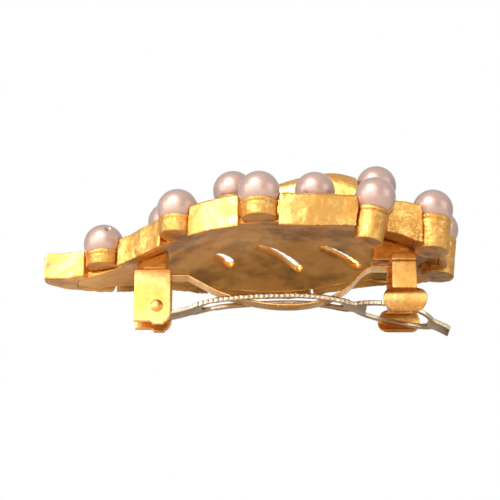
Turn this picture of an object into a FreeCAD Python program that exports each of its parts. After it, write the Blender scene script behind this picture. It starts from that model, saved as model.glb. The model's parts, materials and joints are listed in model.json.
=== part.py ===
import FreeCAD, Part
import math
import os

# Hair barrette: a domed, leaf-shaped gilt ornament set with pearls, carried on a French clip.
# Build frame: X runs from the leaf's tip (-X) to its broad end (+X), Z is up (pearls on top),
# Y = 0 is the clip's centre line.  At the end everything is moved so that the origin is the
# middle of the bottom of the whole object's box.  All sizes are in millimetres.

Vec = FreeCAD.Vector
UP = Vec(0, 0, 1)
ACROSS = Vec(0, 1, 0)

# ---- leaf plate and rim ----------------------------------------------------------------
PLATE_THICK = 1.5
WALL_THICK = 1.9
WALL_HEIGHT = 5.6
WALL_END_RISE = 2.6           # extra height of the walls round the leaf's broad end
WALL_RISE_START_X = 22.0
WALL_RISE_LENGTH = 16.0
DOME_AXIS_Z = -23.0           # the dome is turned about a line along X at this height
DOME_HALF_ANGLE = 60.0
TIP_BLOCK = 6.0               # length of the tip where both rim walls run together
TIP_X = -41.0

# underside of the leaf along its middle: (x, z)
CROWN_LINE = [(TIP_X - 3.0, 11.3), (-34.0, 11.5), (-25.0, 13.3), (-15.0, 17.1),
              (-3.0, 20.6), (12.0, 21.0), (24.0, 19.8), (34.0, 16.6), (46.0, 10.5)]

# outside of the rim, from the tip along the near side and back along the far side: (x, y)
RIM_LINE = [(TIP_X, -1.5), (-31.0, -3.0), (-24.0, -7.0), (-16.5, -14.0), (-8.5, -20.4),
            (0.0, -23.2), (10.0, -23.6), (18.5, -21.6), (27.0, -17.2), (34.5, -12.6),
            (38.6, -6.5), (39.6, 0.5), (37.6, 8.0), (32.0, 13.6), (24.5, 17.6),
            (16.5, 20.8), (8.0, 22.6), (-1.0, 22.0), (-9.0, 19.0), (-16.0, 14.4),
            (-24.0, 9.8), (-33.0, 6.2), (TIP_X, 1.5)]

# the leaf's weight hangs evenly over the clip when its centre-line stands this far behind
LEAF_OFFSET_Y = 0.95

# gaps in the far rim where one ribbon ends and the next begins
WALL_JOINTS = [-27.0, -8.0, 13.0]
WALL_JOINT_GAP = 0.6

# ---- pearls and cups -------------------------------------------------------------------
PEARL_RADIUS = 4.0
PEARL_DRILL = 0.55            # radius of the stringing hole
PEARL_CLEARANCE = 0.08        # between a pearl and the walls beside it
CUP_LIP_RADIUS = PEARL_RADIUS - 0.35
SLIM_LIP_RADIUS = PEARL_RADIUS - 0.85
CUP_TAPER = 0.3               # a cup's foot is this much smaller in radius than its lip
CUP_EDGE = 0.25               # width of the lip left round the pearl
CUP_GROOVE_DROP = 0.95        # groove below the lip that leaves a thin collar
CUP_GROOVE_RADIUS = 0.22
CUP_WALL_GAP = 0.15           # between a cup and the ends of the walls beside it

# rim cups: name, x, side (-1 near, +1 far), radius of the lip, depth of the cup, how far it
# hangs below the leaf, its lean towards +X in degrees, direction of the pearl's stringing hole
RIM_CUPS = [("1", -28.9, -1, CUP_LIP_RADIUS, 2.85, -1.0, 0, (0.25, -0.80, 0.54)),
            ("2", -14.0, -1, CUP_LIP_RADIUS, 3.4, -0.8, 2, (0.1, 0.3, 1.0)),
            ("3", 1.8, -1, CUP_LIP_RADIUS, 3.5, -1.0, 0, (0.3, 0.1, 1.0)),
            ("4", 22.4, -1, SLIM_LIP_RADIUS, 6.6, 3.2, 10, (0.5, 0.2, 1.0)),
            ("5", 35.5, -1, CUP_LIP_RADIUS, 6.8, 0.8, 3, (1.0, -0.15, -0.10)),
            ("6", 38.0, 1, CUP_LIP_RADIUS, 8.2, 0.8, 4, (0.2, 1.0, 0.6))]

# cups inside the rim: name, x, y, clearance between pearl and leaf, hole direction
INNER_CUPS = [("1", -16.3, -4.0, 0.507, (0.2, 0.4, 1.0)),
              ("2", -3.3, -8.0, 2.207, (-0.3, 0.2, 1.0)),
              ("3", 12.7, -13.6, 0.707, (0.1, 0.6, 1.0)),
              ("4", 25.4, -5.0, 5.107, (0.4, -0.1, 1.0)),
              ("5", 26.6, 11.4, 1.707, (-0.2, 0.8, 0.6)),
              ("6", 0.4, 16.4, 1.307, (0.1, 0.2, 1.0)),
              ("7", -13.0, 9.6, 0.907, (-0.4, 0.5, 1.0))]

# ---- open slots in the leaf ------------------------------------------------------------
SLOT_WIDTH = 1.9
# each slot is an arc through three points in plan
SLOT_ARCS = [((-6.6, 7.6), (-5.0, 9.4), (-4.0, 11.8)),
             ((2.4, 6.2), (6.4, 9.6), (10.2, 14.2)),
             ((15.2, 6.0), (18.8, 8.4), (22.2, 11.6))]

# ---- curled petal on top of the leaf ----------------------------------------------------
PETAL_START_X = 3.0
PETAL_END_X = 21.4
PETAL_Y = -5.6
PETAL_THICK = 1.1
PETAL_RIB_STATIONS = 7
PETAL_START_HALF_WIDTH = 2.2
PETAL_END_HALF_WIDTH = 5.0
PETAL_START_TOP = 28.9
PETAL_END_TOP = 32.5
PETAL_END_DROP = 1.7          # the petal's lip curls down by this at its broad end
PETAL_DROP_SHARE = 0.4        # part of its length that curls down
PETAL_ROOT_Z = 15.0

# ---- French clip -----------------------------------------------------------------------
PIN_X = -18.3
PIN_Z = 4.9
PIN_RADIUS = 0.8
PIN_HEAD_RADIUS = 1.35
PIN_HEAD_HEIGHT = 0.55
HINGE_CLEARANCE = 0.06
KNUCKLE_RADIUS = 1.7
EAR_THICK = 0.8
EAR_GAP = 4.4                 # clear width between the two ears
EAR_LEFT_X = -22.8
EAR_RIGHT_X = -15.5
EAR_FOOT_Z = 1.1              # the ears stop this much above the end of the finger tab
EAR_STEP = 0.6                # the ear's flat heel stands this much above its foot
EAR_LOBE_RADIUS = 2.5         # round end of the ear below the pin
EAR_FOOT_HALF = 1.1           # half the flat foot that the object rests on
SADDLE_Z = 12.7               # top of the hinge bracket, where its boss stands
SADDLE_THICK = 0.8
HINGE_BOSS_LENGTH = 6.0
HINGE_BOSS_WIDTH = 5.0

ARM_THICK = 0.8
ARM_SIDE_CLEARANCE = 0.15
ARM_HALF_WIDTH = 2.75
ARM_SLOT_HALF = 2.0
ARM_SLOT_START = -9.6
ARM_SLOT_END = 18.6
ARM_NECK_HALF = 2.2
ARM_NECK_X = 20.6
LOOP_START_X = 24.6
LOOP_END_X = 33.6
LOOP_SHOULDER = 0.86          # width of the loop at its two ends, as a share of its middle
LOOP_HALF_WIDTH = 6.0
LOOP_WIRE = 1.1
TAB_HALF_WIDTH = 2.3
TAB_START_X = 36.2
TAB_END_X = 39.4
# middle line of the arm, seen from the side, past the hinge knuckle: (x, z)
ARM_LINE = [(PIN_X, PIN_Z - KNUCKLE_RADIUS + ARM_THICK / 2), (-14.0, 4.2), (-8.5, 5.8),
            (0.0, 6.9), (7.0, 7.2), (14.0, 6.85), (20.6, 5.6), (28.0, 4.35),
            (34.0, 2.9), (TAB_END_X, 0.45)]

BAR_THICK = 0.45
BAR_CLEARANCE = 0.3           # between the bar and each side of the arm's slot
BAR_HALF_WIDTH = ARM_SLOT_HALF - BAR_CLEARANCE
BAR_LEFT_Z = SADDLE_Z - SADDLE_THICK - BAR_THICK
BAR_LEFT_END = -22.4
BAR_LEFT_BEND = -12.2
BAR_LOW_X = 7.0
BAR_LOW_Z = 5.55
BAR_RIGHT_BEND = 24.2
BAR_RIGHT_END = 31.8
RIVET_RADIUS = 0.9
RIVET_HEAD = 0.4

CATCH_Z = 14.6                # top of the catch plate, where its boss stands
CATCH_THICK = 0.8
CATCH_LEFT_X = 27.8
CATCH_RIGHT_X = 32.6
PRONG_THICK = 0.7
PRONG_GAP = 0.45              # between the arm's loop and each prong
PRONG_ROOT_Z = CATCH_Z - 1.9
FLEX_CLEARANCE = 0.08         # between a prong's root and the lug that it bends from
LIP_TOP_Z = 6.95
LIP_LOW_Z = 2.75
LIP_HALF_LENGTH = 4.3
LIP_FLARE = 1.3
CATCH_BOSS_LENGTH = 8.6
CATCH_BOSS_OFFSET = -1.6      # middle of the boss from the middle of the catch plate
CATCH_BOSS_WIDTH = 5.0
BOSS_CORNER = 1.2

BIG = 120.0                   # longer than the whole object, for cutting tools


# ---- small helpers -----------------------------------------------------------------------
def spline(points):
    """Smooth open curve through the points."""
    curve = Part.BSplineCurve()
    curve.interpolate([Vec(*p) for p in points])
    return curve


def moved_samples(curve, distance, count, normal):
    """Points beside a curve, at a distance measured towards `normal` x tangent."""
    first, last = curve.FirstParameter, curve.LastParameter
    points = []
    for i in range(count):
        u = first + (last - first) * i / (count - 1)
        side = normal.cross(curve.tangent(u)[0]).normalize()
        points.append(curve.value(u) + side * distance)
    return points


def face_between(first_points, second_points):
    """Flat face between two smooth lines whose ends are joined by straight edges."""
    one = spline(first_points).toShape()
    two = spline(second_points).toShape()
    start = Part.makeLine(first_points[0], second_points[0])
    end = Part.makeLine(first_points[-1], second_points[-1])
    return Part.Face(Part.Wire(Part.__sortEdges__([one, end, two, start])))


def strip(line, thickness, half_width):
    """Sheet strip of the given thickness whose side view follows `line`, a list of (x, z)."""
    curve = spline([(x, 0, z) for x, z in line])
    samples = 4 * len(line)
    above = moved_samples(curve, thickness / 2, samples, ACROSS)
    below = moved_samples(curve, -thickness / 2, samples, ACROSS)
    face = face_between(above, below)
    face.translate(Vec(0, -half_width, 0))
    return face.extrude(Vec(0, 2 * half_width, 0))


def plan_prism(wire):
    """Tall prism over a plan outline."""
    face = Part.Face(wire)
    face.translate(Vec(0, 0, -BIG / 2))
    return face.extrude(Vec(0, 0, BIG))


def box(x0, x1, y0, y1, z0, z1):
    return Part.makeBox(x1 - x0, y1 - y0, z1 - z0, Vec(x0, y0, z0))


def pill_prism(x0, x1, half_width):
    """Tall prism over a straight slot along X with round ends."""
    left = Part.makeCylinder(half_width, BIG, Vec(x0 + half_width, 0, -BIG / 2))
    right = Part.makeCylinder(half_width, BIG, Vec(x1 - half_width, 0, -BIG / 2))
    middle = box(x0 + half_width, x1 - half_width, -half_width, half_width, -BIG / 2, BIG / 2)
    return left.fuse([right, middle]).removeSplitter()


# ---- leaf --------------------------------------------------------------------------------
def crown_points(raised, end_rise=0.0):
    """Points along the middle of the leaf, raised evenly and then more at the broad end."""
    points = []
    for x, z in CROWN_LINE:
        share = min(1.0, max(0.0, (x - WALL_RISE_START_X) / WALL_RISE_LENGTH))
        points.append((x, 0, z + raised + end_rise * share))
    return points


def dome_body(raised, end_rise=0.0):
    """Everything below the leaf's underside, raised by the given amounts."""
    points = crown_points(raised, end_rise)
    start, end = Vec(*points[0]), Vec(*points[-1])
    curve = spline(points).toShape()
    corners = [end, Vec(end.x, 0, DOME_AXIS_Z), Vec(start.x, 0, DOME_AXIS_Z), start]
    edges = [curve] + [Part.makeLine(a, b) for a, b in zip(corners, corners[1:])]
    face = Part.Face(Part.Wire(Part.__sortEdges__(edges)))
    axis_point = Vec(0, 0, DOME_AXIS_Z)
    face.rotate(axis_point, Vec(1, 0, 0), -DOME_HALF_ANGLE)
    return face.revolve(axis_point, Vec(1, 0, 0), 2 * DOME_HALF_ANGLE)


def underside_z(x, y):
    """Height of the leaf's underside at a place in plan."""
    curve = spline(crown_points(0))
    hit = curve.intersect(Part.Plane(Vec(x, 0, 0), Vec(1, 0, 0)))[0][0]
    radius = hit.Z - DOME_AXIS_Z
    return DOME_AXIS_Z + math.sqrt(radius ** 2 - y ** 2)


def rim_curve():
    return spline([(x, y, 0) for x, y in RIM_LINE])


def rim_points(inset):
    """Points of the rim line, moved inwards."""
    return moved_samples(rim_curve(), inset, 4 * len(RIM_LINE), UP)


def rim_wire():
    curve = rim_curve().toShape()
    tip_face = Part.makeLine(Vec(*RIM_LINE[-1], 0), Vec(*RIM_LINE[0], 0))
    return Part.Wire([curve, tip_face])


def pocket_wire():
    """Inside of the rim walls; it stops short of the tip, where the walls run together."""
    inside = [p for p in rim_points(WALL_THICK) if p.x > TIP_X + TIP_BLOCK]
    curve = spline(inside).toShape()
    return Part.Wire([curve, Part.makeLine(inside[-1], inside[0])])


def rim_place(x, side):
    """Place on the middle line of the rim wall at x, on the near (-1) or far (+1) side."""
    middle = [p for p in moved_samples(rim_curve(), WALL_THICK / 2, 400, UP) if p.y * side > 0]
    nearest = min(middle, key=lambda p: abs(p.x - x))
    return nearest.x, nearest.y


def wall_joint(x):
    """Narrow gap through the far rim, square to the rim."""
    place_x, place_y = rim_place(x, 1)
    beside_x, beside_y = rim_place(x + WALL_THICK, 1)
    turn = math.degrees(math.atan2(beside_y - place_y, beside_x - place_x))
    gap = Part.makeBox(WALL_JOINT_GAP, 4 * WALL_THICK, BIG,
                       Vec(-WALL_JOINT_GAP / 2, -2 * WALL_THICK, -BIG / 2))
    gap.rotate(Vec(0, 0, 0), UP, turn)
    gap.translate(Vec(place_x, place_y, 0))
    return gap


def slot_cutter(arc_points):
    """Curved slot with round ends, cut right through the leaf."""
    start, middle, end = [Vec(x, y, 0) for x, y in arc_points]
    arc = Part.Arc(start, middle, end)
    low = Vec(0, 0, -BIG / 2)
    inner = moved_samples(arc, SLOT_WIDTH / 2, 9, UP)
    outer = moved_samples(arc, -SLOT_WIDTH / 2, 9, UP)
    body = plan_prism(face_between(inner, outer).OuterWire)
    ends = [Part.makeCylinder(SLOT_WIDTH / 2, BIG, end_point + low) for end_point in (start, end)]
    return body.fuse(ends)


# ---- cups and pearls ---------------------------------------------------------------------
def pearl_ball(centre, clearance=0.0):
    return Part.makeSphere(PEARL_RADIUS + clearance, centre)


def drilled_pearl(centre, hole_direction):
    """Ball with its poles on the stringing hole, so that the hole takes both poles away."""
    direction = Vec(*hole_direction).normalize()
    start = centre - direction * (2 * PEARL_RADIUS)
    drill = Part.makeCylinder(PEARL_DRILL, 4 * PEARL_RADIUS, start, direction)
    return Part.makeSphere(PEARL_RADIUS, centre, direction).cut(drill)


def seat_drop(lip_radius):
    """How far a cup's lip stands below the centre of the pearl in it."""
    return math.sqrt(PEARL_RADIUS ** 2 - (lip_radius - CUP_EDGE) ** 2)


def cup_cone(foot, axis, depth, lip_radius):
    return Part.makeCone(lip_radius - CUP_TAPER, lip_radius, depth, foot, axis)


def collar_groove(lip, axis, lip_radius):
    return Part.makeTorus(lip_radius, CUP_GROOVE_RADIUS, lip - axis * CUP_GROOVE_DROP, axis)


def cup_space(foot, axis, lip_radius):
    """Room round a cup that the rim walls leave free."""
    radius = lip_radius + CUP_WALL_GAP
    return Part.makeCylinder(radius, BIG, foot - axis * (BIG / 2), axis)


def make_rim_cups():
    """Cups and pearls on the rim, the cones they take out of the leaf and the room they need."""
    cups, pearls, cones, spaces = {}, {}, [], []
    for name, near_x, side, lip_radius, depth, hang, lean, hole in RIM_CUPS:
        x, y = rim_place(near_x, side)
        axis = Vec(math.sin(math.radians(lean)), 0, math.cos(math.radians(lean)))
        foot = Vec(x, y, underside_z(x, y) - hang)
        lip = foot + axis * depth
        centre = lip + axis * seat_drop(lip_radius)
        cone = cup_cone(foot, axis, depth, lip_radius)
        groove = collar_groove(lip, axis, lip_radius)
        cups["rim_cup_" + name] = cone.cut([pearl_ball(centre), groove])
        pearls["rim_pearl_" + name] = drilled_pearl(centre, hole)
        cones.append(cone)
        spaces.append(cup_space(foot, axis, lip_radius))
        spaces.append(pearl_ball(centre, PEARL_CLEARANCE))
    return cups, pearls, cones, spaces


def make_inner_cups(leaf_top):
    """Cups and pearls that stand on the leaf, and the room they need."""
    cups, pearls, spaces = {}, {}, []
    for name, x, y, clearance, hole in INNER_CUPS:
        rise = clearance + PEARL_RADIUS - seat_drop(CUP_LIP_RADIUS)
        lip = Vec(x, y, underside_z(x, y) + PLATE_THICK + rise)
        foot = lip - UP * (rise + CUP_LIP_RADIUS)
        centre = lip + UP * seat_drop(CUP_LIP_RADIUS)
        depth = lip.z - foot.z
        cone = cup_cone(foot, UP, depth, CUP_LIP_RADIUS)
        cups["centre_cup_" + name] = cone.cut([leaf_top, pearl_ball(centre)])
        pearls["centre_pearl_" + name] = drilled_pearl(centre, hole)
        spaces.append(Part.makeCylinder(CUP_LIP_RADIUS + CUP_WALL_GAP, depth, foot))
        spaces.append(pearl_ball(centre, PEARL_CLEARANCE))
    return cups, pearls, spaces


# ---- petal -------------------------------------------------------------------------------
def petal_rib(share):
    """Arch-shaped cross-section of the petal, `share` of the way along it."""
    x = PETAL_START_X + (PETAL_END_X - PETAL_START_X) * share
    swell = math.sin(share * math.pi / 2)
    half = PETAL_START_HALF_WIDTH + (PETAL_END_HALF_WIDTH - PETAL_START_HALF_WIDTH) * swell
    curl = max(0.0, 1 - (1 - share) / PETAL_DROP_SHARE) ** 2
    top = PETAL_START_TOP + (PETAL_END_TOP - PETAL_START_TOP) * swell - PETAL_END_DROP * curl
    spring_z = top - half * 1.1

    def arch(inset):
        left = Vec(x, PETAL_Y - half + inset, spring_z)
        crown = Vec(x, PETAL_Y, top - inset)
        right = Vec(x, PETAL_Y + half - inset, spring_z)
        return left, Part.Arc(left, crown, right).toShape(), right

    outer_left, outer_arc, outer_right = arch(0)
    inner_left, inner_arc, inner_right = arch(PETAL_THICK)

    def foot(point):
        return Vec(point.x, point.y, PETAL_ROOT_Z)

    corners = [(outer_right, foot(outer_right)), (foot(outer_right), foot(inner_right)),
               (foot(inner_right), inner_right), (inner_left, foot(inner_left)),
               (foot(inner_left), foot(outer_left)), (foot(outer_left), outer_left)]
    edges = [outer_arc, inner_arc] + [Part.makeLine(a, b) for a, b in corners]
    return Part.Wire(Part.__sortEdges__(edges))


def make_petal(leaf_top, spaces):
    ribs = [petal_rib(i / (PETAL_RIB_STATIONS - 1)) for i in range(PETAL_RIB_STATIONS)]
    return Part.makeLoft(ribs, True, False).cut([leaf_top] + spaces)


# ---- clip --------------------------------------------------------------------------------
def along_y(radius, x, z, y0, y1):
    return Part.makeCylinder(radius, y1 - y0, Vec(x, y0, z), ACROSS)


def ear_plate():
    """Hinge ear: straight leg, flat heel and a round lobe that ends in a small flat foot."""
    lobe_x = EAR_RIGHT_X - EAR_LOBE_RADIUS
    lobe_z = EAR_FOOT_Z + EAR_LOBE_RADIUS
    leg = box(EAR_LEFT_X, EAR_RIGHT_X, 0, EAR_THICK, lobe_z, SADDLE_Z)
    heel = box(EAR_LEFT_X, lobe_x, 0, EAR_THICK, EAR_FOOT_Z + EAR_STEP, SADDLE_Z)
    lobe = along_y(EAR_LOBE_RADIUS, lobe_x, lobe_z, 0, EAR_THICK)
    foot = box(lobe_x - EAR_FOOT_HALF, lobe_x + EAR_FOOT_HALF, 0, EAR_THICK, EAR_FOOT_Z, lobe_z)
    return leg.fuse([heel, lobe, foot]).removeSplitter()


def make_hinge_bracket():
    inner = EAR_GAP / 2
    outer = inner + EAR_THICK
    saddle = box(EAR_LEFT_X, EAR_RIGHT_X, -outer, outer, SADDLE_Z - SADDLE_THICK, SADDLE_Z)
    near_ear = ear_plate()
    near_ear.translate(Vec(0, -outer, 0))
    far_ear = ear_plate()
    far_ear.translate(Vec(0, inner, 0))
    pin_hole = along_y(PIN_RADIUS, PIN_X, PIN_Z, -BIG / 2, BIG / 2)
    return saddle.fuse([near_ear, far_ear]).removeSplitter().cut(pin_hole)


def make_hinge_pin():
    outer = EAR_GAP / 2 + EAR_THICK
    shaft = along_y(PIN_RADIUS, PIN_X, PIN_Z, -outer, outer)
    dome_radius = (PIN_HEAD_RADIUS ** 2 + PIN_HEAD_HEIGHT ** 2) / (2 * PIN_HEAD_HEIGHT)
    heads = []
    for side in (-1, 1):
        centre = Vec(PIN_X, side * (outer + PIN_HEAD_HEIGHT - dome_radius), PIN_Z)
        y0, y1 = sorted((side * outer, side * (outer + PIN_HEAD_HEIGHT)))
        keep = along_y(PIN_HEAD_RADIUS, PIN_X, PIN_Z, y0, y1)
        heads.append(Part.makeSphere(dome_radius, centre).common(keep))
    return shaft.fuse(heads).removeSplitter().Solids[0]


def loop_side():
    """Outside of the loop from the neck to the finger tab, on the far side."""
    shoulder = LOOP_SHOULDER * LOOP_HALF_WIDTH
    return spline([(ARM_NECK_X, ARM_NECK_HALF, 0), (LOOP_START_X, shoulder, 0),
                   ((LOOP_START_X + LOOP_END_X) / 2, LOOP_HALF_WIDTH, 0),
                   (LOOP_END_X, shoulder, 0), (TAB_START_X, TAB_HALF_WIDTH, 0)])


def closed_across(half_edges):
    """Wire made of a half outline and its mirror image in the clip's centre line."""
    mirrored = [edge.mirror(Vec(0, 0, 0), ACROSS) for edge in half_edges]
    first = half_edges[0].Vertexes[0].Point
    last = half_edges[-1].Vertexes[-1].Point
    closing = [Part.makeLine(p, Vec(p.x, -p.y, 0)) for p in (first, last)]
    return Part.Wire(Part.__sortEdges__(half_edges + mirrored + closing))


def arm_plan():
    """Outline of the arm from above: strip, neck, oval loop and finger tab."""
    narrow = EAR_GAP / 2 - ARM_SIDE_CLEARANCE
    widen_x = PIN_X + PIN_Z + KNUCKLE_RADIUS
    strip_side = [Vec(PIN_X - KNUCKLE_RADIUS, narrow, 0), Vec(widen_x, narrow, 0),
                  Vec(ARM_SLOT_START - 1, ARM_HALF_WIDTH, 0),
                  Vec(ARM_SLOT_END, ARM_HALF_WIDTH, 0), Vec(ARM_NECK_X, ARM_NECK_HALF, 0)]
    lines = [Part.makeLine(a, b) for a, b in zip(strip_side, strip_side[1:])]
    tab = Part.makeLine(Vec(TAB_START_X, TAB_HALF_WIDTH, 0), Vec(TAB_END_X, TAB_HALF_WIDTH, 0))
    return closed_across(lines + [loop_side().toShape(), tab])


def loop_hole():
    """Opening of the loop, one wire width inside its outline."""
    inside = [p for p in moved_samples(loop_side(), -LOOP_WIRE, 30, UP)
              if ARM_NECK_X + 2 * LOOP_WIRE < p.x < TAB_START_X - LOOP_WIRE / 2]
    return plan_prism(closed_across([spline(inside).toShape()]))


def make_clasp_arm():
    narrow = EAR_GAP / 2 - ARM_SIDE_CLEARANCE
    sheet = strip(ARM_LINE, ARM_THICK, 2 * LOOP_HALF_WIDTH).common(plan_prism(arm_plan()))
    slot = pill_prism(ARM_SLOT_START, ARM_SLOT_END, ARM_SLOT_HALF)
    sheet = sheet.cut([slot, loop_hole()])
    knuckle = along_y(KNUCKLE_RADIUS, PIN_X, PIN_Z, -narrow, narrow)
    bore = along_y(PIN_RADIUS + HINGE_CLEARANCE, PIN_X, PIN_Z, -BIG / 2, BIG / 2)
    return sheet.fuse(knuckle).cut(bore).removeSplitter()


def bar_line():
    """Side view of the tension bar: two flat ends and a bow that dips through the arm's slot."""
    right_z = CATCH_Z - CATCH_THICK - BAR_THICK / 2
    left_z = BAR_LEFT_Z + BAR_THICK / 2
    return [(BAR_LEFT_BEND, left_z), (-9.6, left_z - 1.5), (-5.8, left_z - 3.5),
            (-2.0, BAR_LOW_Z + 1.35), (BAR_LOW_X, BAR_LOW_Z), (16.0, BAR_LOW_Z + 1.55),
            (20.2, right_z - 3.6), (22.4, right_z - 1.1), (BAR_RIGHT_BEND, right_z)]


def make_tension_bar():
    right_z = CATCH_Z - CATCH_THICK
    bow = strip(bar_line(), BAR_THICK, BAR_HALF_WIDTH)
    left = box(BAR_LEFT_END, BAR_LEFT_BEND, -BAR_HALF_WIDTH, BAR_HALF_WIDTH,
               BAR_LEFT_Z, BAR_LEFT_Z + BAR_THICK)
    right = box(BAR_RIGHT_BEND, BAR_RIGHT_END, -BAR_HALF_WIDTH, BAR_HALF_WIDTH,
                right_z - BAR_THICK, right_z)
    holes = [rivet_hole(x) for x in rivet_places()]
    return bow.fuse([left, right]).removeSplitter().cut(holes)


def rivet_places():
    return ((EAR_LEFT_X + EAR_RIGHT_X) / 2, (CATCH_LEFT_X + CATCH_RIGHT_X) / 2)


def rivet_hole(x):
    return Part.makeCylinder(RIVET_RADIUS, BIG, Vec(x, 0, -BIG / 2))


def make_rivet(x, bar_underside, boss_top):
    shank = Part.makeCylinder(RIVET_RADIUS, boss_top - bar_underside, Vec(x, 0, bar_underside))
    head = Part.makeCone(RIVET_RADIUS, RIVET_RADIUS * 1.5, RIVET_HEAD,
                         Vec(x, 0, bar_underside - RIVET_HEAD))
    return shank.fuse(head).removeSplitter()


def prong_faces():
    """Inner and outer Y of the near prong's straight leg."""
    inner = LOOP_HALF_WIDTH + PRONG_GAP
    return inner, inner + PRONG_THICK


def make_catch_plate():
    inner, outer = prong_faces()
    plate = box(CATCH_LEFT_X, CATCH_RIGHT_X, -outer, outer, CATCH_Z - CATCH_THICK, CATCH_Z)
    lugs = [box(CATCH_LEFT_X, CATCH_RIGHT_X, min(s * inner, s * outer), max(s * inner, s * outer),
                PRONG_ROOT_Z, CATCH_Z) for s in (-1, 1)]
    hollows = [prong_root(s, FLEX_CLEARANCE) for s in (-1, 1)]
    return plate.fuse(lugs).removeSplitter().cut(hollows)


def prong_root(side, clearance=0.0):
    """Round bar along a prong's root, centred on the line where the prong flexes."""
    inner, outer = prong_faces()
    start = Vec(CATCH_LEFT_X, side * (inner + outer) / 2, PRONG_ROOT_Z)
    length = CATCH_RIGHT_X - CATCH_LEFT_X
    return Part.makeCylinder(PRONG_THICK / 2 + clearance, length, start, Vec(1, 0, 0))


def make_prong(side):
    """Spring leg below the catch plate that ends in an oval lip curled outwards."""
    inner, outer = prong_faces()
    middle = (CATCH_LEFT_X + CATCH_RIGHT_X) / 2
    leg = box(CATCH_LEFT_X, CATCH_RIGHT_X, inner, outer, LIP_TOP_Z - PRONG_THICK, PRONG_ROOT_Z)
    lip_middle_z = (LIP_TOP_Z + LIP_LOW_Z) / 2
    y_mid = (inner + outer) / 2
    top, belly, bottom = (Vec(0, y_mid, LIP_TOP_Z), Vec(0, y_mid + LIP_FLARE, lip_middle_z),
                          Vec(0, y_mid, LIP_LOW_Z))
    arc = Part.Arc(top, belly, bottom)
    turn = Vec(1, 0, 0)
    outside = moved_samples(arc, PRONG_THICK / 2, 7, turn)
    inside = moved_samples(arc, -PRONG_THICK / 2, 7, turn)
    section = face_between(outside, inside)
    section.translate(Vec(middle - LIP_HALF_LENGTH, 0, 0))
    curl = section.extrude(Vec(2 * LIP_HALF_LENGTH, 0, 0))
    half_height = (LIP_TOP_Z - LIP_LOW_Z) / 2 + PRONG_THICK / 2
    reach = LIP_HALF_LENGTH - half_height
    ends = [along_y(half_height, x, lip_middle_z, 0, BIG / 2)
            for x in (middle - reach, middle + reach)]
    between = box(middle - reach, middle + reach, 0, BIG / 2, lip_middle_z - half_height,
                  lip_middle_z + half_height)
    lip = curl.common(between.fuse(ends))
    prong = leg.fuse([lip, prong_root(1)]).removeSplitter()
    if side < 0:
        prong = prong.mirror(Vec(0, 0, 0), ACROSS)
    return prong


def make_boss(x, length, width, bottom, leaf_under, rivet):
    """Cast pad between the leaf's underside and a clip bracket."""
    pad = box(x - length / 2, x + length / 2, -width / 2, width / 2, bottom, bottom + BIG / 4)
    upright = [edge for edge in pad.Edges if edge.Length > BIG / 5]
    return pad.makeFillet(BOSS_CORNER, upright).common(leaf_under).cut(rivet)


# ---- whole object ------------------------------------------------------------------------
def build():
    under, top, wall_top = dome_body(0), dome_body(PLATE_THICK), dome_body(WALL_HEIGHT, WALL_END_RISE)
    rim, pocket = plan_prism(rim_wire()), plan_prism(pocket_wire())
    cups, pearls, cones, spaces = make_rim_cups()
    inner_cups, inner_pearls, inner_spaces = make_inner_cups(top)

    nodes = {}
    slots = [slot_cutter(arc) for arc in SLOT_ARCS]
    nodes["leaf_plate"] = pocket.common(top.cut(under)).cut(cones + slots)
    walls = rim.cut(pocket).common(wall_top.cut(under)).cut(spaces + inner_spaces)
    walls = walls.cut([wall_joint(x) for x in WALL_JOINTS])
    around = sorted(walls.Solids, key=lambda s: math.atan2(s.CenterOfMass.y, s.CenterOfMass.x))
    for i, wall in enumerate(around):
        nodes["rim_wall_%d" % (i + 1)] = wall
    nodes.update(cups)
    nodes.update(pearls)
    nodes.update(inner_cups)
    nodes.update(inner_pearls)
    nodes["centre_petal"] = make_petal(top, inner_spaces)
    for shape in [under] + list(nodes.values()):
        shape.translate(Vec(0, LEAF_OFFSET_Y, 0))

    left_x, right_x = rivet_places()
    left_rivet = make_rivet(left_x, BAR_LEFT_Z, SADDLE_Z + 1)
    right_rivet = make_rivet(right_x, CATCH_Z - CATCH_THICK - BAR_THICK, CATCH_Z + 1)
    nodes["hinge_boss"] = make_boss(left_x, HINGE_BOSS_LENGTH, HINGE_BOSS_WIDTH, SADDLE_Z,
                                    under, left_rivet)
    nodes["catch_boss"] = make_boss(right_x + CATCH_BOSS_OFFSET, CATCH_BOSS_LENGTH,
                                    CATCH_BOSS_WIDTH, CATCH_Z, under, right_rivet)
    nodes["hinge_bracket"] = make_hinge_bracket().cut(left_rivet)
    nodes["hinge_pin"] = make_hinge_pin()
    nodes["tension_bar"] = make_tension_bar()
    nodes["hinge_rivet"] = left_rivet
    nodes["catch_rivet"] = right_rivet
    nodes["catch_plate"] = make_catch_plate().cut(right_rivet)
    nodes["near_prong"] = make_prong(-1)
    nodes["far_prong"] = make_prong(1)
    nodes["clasp_arm"] = make_clasp_arm()
    return nodes


def main():
    nodes = build()
    whole = Part.makeCompound(list(nodes.values())).optimalBoundingBox()
    shift = Vec(-(whole.XMin + whole.XMax) / 2, -(whole.YMin + whole.YMax) / 2, -whole.ZMin)
    os.makedirs("parts", exist_ok=True)
    for name, shape in nodes.items():
        shape.translate(shift)
        shape.exportStep("parts/%s.step" % name)
    print("size %.2f x %.2f x %.2f" % (whole.XLength, whole.YLength, whole.ZLength))
    print("shift %.3f %.3f %.3f" % tuple(shift))
    print("pin %.3f %.3f %.3f" % tuple(Vec(PIN_X, 0, PIN_Z) + shift))
    inner, outer = prong_faces()
    print("prong hinge y %.3f z %.3f" % ((inner + outer) / 2, PRONG_ROOT_Z + shift.z))


main()
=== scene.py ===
import json
import math

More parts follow.
